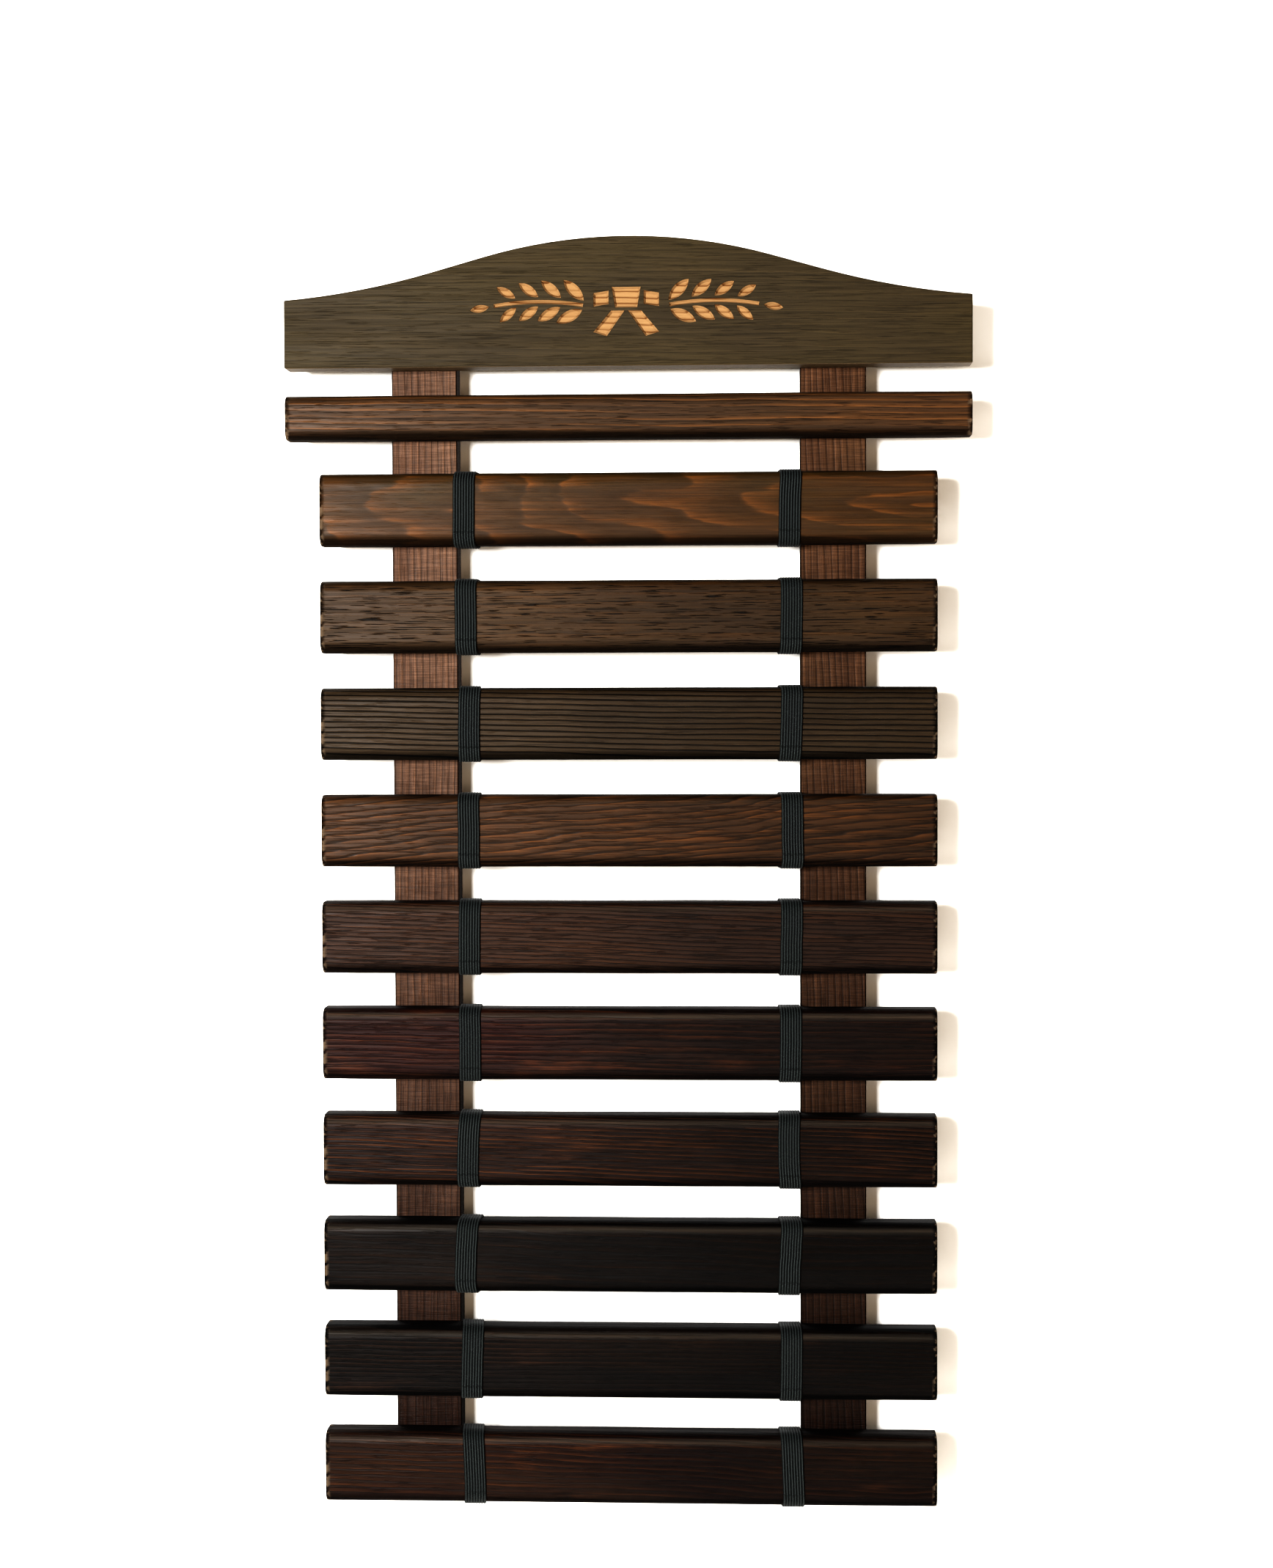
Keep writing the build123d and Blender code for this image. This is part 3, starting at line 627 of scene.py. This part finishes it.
def strip(path, normals, widths, offsets, shifts, closed):
    """The points of a strip that follows a path of (y, z) points, and its faces.

    widths are positions across it, offsets the height of each above the path, and shifts the strip's place
    along X at each path point.
    """
    points = []
    for (y, z), (ny, nz), shift in zip(path, normals, shifts):
        for width, offset in zip(widths, offsets):
            points.append((shift + width, y + ny * offset, z + nz * offset))
    rows, count = len(path), len(widths)
    faces = []
    for r in range(rows if closed else rows - 1):
        for k in range(count):
            a, b = r * count + k, r * count + (k + 1) % count
            c, d = ((r + 1) % rows) * count + k, ((r + 1) % rows) * count + (k + 1) % count
            faces.append([a, c, d, b])
    if not closed:
        faces.append(list(range(count)))
        faces.append([(rows - 1) * count + k for k in range(count)][::-1])
    return points, faces


def band_profile(thickness):
    """Positions across the elastic and heights above its inner face: ribbed outside, flat inside."""
    across = np.linspace(-0.5, 0.5, RIBS * 4 + 1)
    edge = np.clip((0.5 - np.abs(across)) * BAND_WIDTH / (0.5 * MM), 0, 1)
    ribs = np.abs(np.sin(math.pi * RIBS * (across + 0.5))) ** 0.7
    outside = (thickness - RIB_HEIGHT) * (0.55 + 0.45 * np.sqrt(edge)) + RIB_HEIGHT * ribs * edge
    inner = across[::-4]
    widths = list(across * BAND_WIDTH) + list(inner * BAND_WIDTH * 0.985)
    offsets = list(outside) + [0.0] * len(inner)
    ribs_at = list((across + 0.5) * RIBS) + list((inner + 0.5) * RIBS)
    return widths, offsets, ribs_at


def band_piece(side, number, material):
    """An elastic loop, stretched round its slat and a little askew, with its ends lapped behind the slat."""
    sign = SIDES[side]
    node = f"{side}_band_{number:02d}"
    slat_low, slat_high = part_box(f"slat_{number:02d}")
    band_low, band_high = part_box(node)
    outer = band_low.x if sign < 0 else band_high.x
    back_centre = outer - sign * (FRONT_SKEW + BAND_WIDTH / 2)
    lift = Vector((0.0, BAND_LIFT, BAND_LIFT))
    path, normals = section(slat_low - lift, slat_high + lift, SLAT_ROUND + BAND_LIFT,
                            BACK_ROUND + BAND_LIFT, PATH_STEP, arc_steps=7)
    top, middle, foot = (FRONT_SKEW + value * MM for value in FRONT_SHIFTS[side][number - 1])
    height = (path[:, 1] - slat_low.z) / (slat_high.z - slat_low.z)
    forward = np.clip((slat_high.y - path[:, 0]) / (slat_high.y - slat_low.y), 0, 1)
    bow = middle - (top + foot) / 2
    lean = foot + (top - foot) * height + bow * 4 * height * (1 - height)
    wobble = WOBBLE * waves(np.column_stack((np.zeros(len(path)), path)), 90 + number * sign, 1.0, 20 * MM)
    shifts = back_centre + sign * (lean * forward + wobble)
    widths, offsets, ribs_at = band_profile(BAND_THICKNESS)
    points, faces = strip(path, normals, widths, offsets, shifts, closed=True)
    lengths = np.concatenate(([0], np.cumsum(np.linalg.norm(np.diff(path, axis=0), axis=1))))
    stitches = [(length / STITCH, rib) for length in lengths for rib in ribs_at]
    lap_points, lap_faces, lap_stitches = lap(path, normals, shifts, lengths, slat_low, slat_high)
    faces += [[index + len(points) for index in face] for face in lap_faces]
    points += lap_points
    stitches += lap_stitches
    piece = piece_from(f"{node}_elastic", points, faces, material)
    uv = piece.data.uv_layers.new(name="loop")
    uv.data.foreach_set("uv", [v for loop in piece.data.loops for v in stitches[loop.vertex_index]])
    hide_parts(node)
    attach(piece, node)


def lap(path, normals, shifts, lengths, slat_low, slat_high):
    """The elastic's end, lapped over its start behind the slat and sewn down."""
    centre = (slat_low.z + slat_high.z) / 2
    behind = [k for k in range(len(path)) if normals[k][0] > 0.99 and abs(path[k][1] - centre) < LAP / 2]
    widths, offsets, ribs_at = band_profile(BAND_THICKNESS)
    raised = [offset + BAND_THICKNESS * 0.9 for offset in offsets]
    points, faces = strip(path[behind], normals[behind], widths, raised, shifts[behind], closed=False)
    stitches = [(lengths[k] / STITCH, rib) for k in behind for rib in ribs_at]
    return points, faces, stitches


def make_bands():
    material = elastic()
    for side in SIDES:
        for number in range(1, SLAT_COUNT + 1):
            band_piece(side, number, material)


# Stage

FLOOR_DROP = 0.55  # from the rack's foot to the floor
STAGE_REACH = 5.0
WALL_GAP = 0.4 * MM  # behind the rails
WALL_PAINT = (0.90, 0.885, 0.850)
FLOOR_PAINT = (0.82, 0.81, 0.79)
DAYLIGHT = (0.97, 0.985, 1.0)
SKYLIGHT = (0.95, 0.97, 1.0)
WARM = (1.0, 0.80, 0.60)
PALE = (0.80, 0.79, 0.77)


def plain(name, colour):
    """A matt surface with one side: it is seen from the side its normal points to, and clear from behind."""
    tree = Tree(name)
    matt = tree.add("ShaderNodeBsdfDiffuse", {"Color": (*colour, 1.0)}).outputs[0]
    clear = tree.add("ShaderNodeBsdfTransparent", {}).outputs[0]
    behind = tree.add("ShaderNodeNewGeometry", {}).outputs["Backfacing"]
    both = tree.add("ShaderNodeMixShader", {0: behind, 1: matt, 2: clear}).outputs[0]
    tree.links.new(both, tree.output.inputs["Surface"])
    return tree.material


def make_stage():
    """A pale wall right behind the rails, and a pale floor under the rack."""
    floor_z = cad_low.z - FLOOR_DROP
    wall_y = cad_high.y + WALL_GAP
    wall_corners = [(-STAGE_REACH, wall_y, floor_z), (STAGE_REACH, wall_y, floor_z),
                    (STAGE_REACH, wall_y, STAGE_REACH), (-STAGE_REACH, wall_y, STAGE_REACH)]
    wall = piece_from("wall", wall_corners, [[0, 1, 2, 3]], plain("wall_paint", WALL_PAINT))
    wall.visible_shadow = False
    floor_corners = [(-STAGE_REACH, -STAGE_REACH, floor_z), (STAGE_REACH, -STAGE_REACH, floor_z),
                     (STAGE_REACH, STAGE_REACH, floor_z), (-STAGE_REACH, STAGE_REACH, floor_z)]
    floor = piece_from("floor", floor_corners, [[0, 1, 2, 3]], plain("floor_paint", FLOOR_PAINT))


def area_light(name, place, target, size, power, colour=(1.0, 1.0, 1.0)):
    data = bpy.data.lights.new(name, "AREA")
    data.shape = "RECTANGLE"
    data.size, data.size_y = size
    data.energy = power
    data.color = colour
    light = bpy.data.objects.new(name, data)
    light.location = place
    light.rotation_mode = "QUATERNION"
    light.rotation_quaternion = (Vector(target) - Vector(place)).to_track_quat("-Z", "Y")
    bpy.context.scene.collection.objects.link(light)


def make_lights():
    """A window at the left, the warm room, a strip high up that lights the round-overs, and two behind.

    The world is dim and warm as light, and pale where the camera sees it.
    """
    middle = (0.0, 0.0, (cad_low.z + cad_high.z) / 2)
    area_light("window", (-1.08, -2.4, 0.03), middle, (0.60, 0.60), 108.0, DAYLIGHT)
    area_light("room", (0.75, -2.5, -0.30), middle, (2.0, 1.2), 12.0, WARM)
    area_light("ceiling", (-0.3, -1.3, 1.6), middle, (2.2, 0.5), 13.0, SKYLIGHT)
    for sign in SIDES.values():
        area_light(f"behind_{sign + 2}", (sign * 1.5, 2.8, 1.1), middle, (2.0, 2.0), 75.0)
    world = bpy.data.worlds.new("studio")
    world.use_nodes = True
    nodes, links = world.node_tree.nodes, world.node_tree.links
    dim, seen = nodes["Background"], nodes.new("ShaderNodeBackground")
    both = nodes.new("ShaderNodeMixShader")
    dim.inputs["Color"].default_value = (*WARM, 1.0)
    dim.inputs["Strength"].default_value = 0.10
    seen.inputs["Color"].default_value = (*PALE, 1.0)
    links.new(nodes.new("ShaderNodeLightPath").outputs["Is Camera Ray"], both.inputs[0])
    links.new(dim.outputs[0], both.inputs[1])
    links.new(seen.outputs[0], both.inputs[2])
    links.new(both.outputs[0], nodes["World Output"].inputs["Surface"])
    bpy.context.scene.world = world
    bpy.context.scene.view_settings.view_transform = "Standard"
    bpy.context.scene.view_settings.look = "Very High Contrast"


def make_camera():
    """The photographer's place: a step back from the wall, a little right of the rack's middle."""
    data = bpy.data.cameras.new("camera")
    data.lens = 58.4
    data.sensor_width = 36.0
    camera = bpy.data.objects.new("camera", data)
    camera.location = (0.0719, -1.5163, -0.1901)
    camera.rotation_euler = [math.radians(angle) for angle in (88.27, 0.17, 2.575)]
    bpy.context.scene.collection.objects.link(camera)
    bpy.context.scene.camera = camera


make_slats()
make_header()
make_rails()
make_hardware()
make_bands()
make_stage()
make_lights()
make_camera()
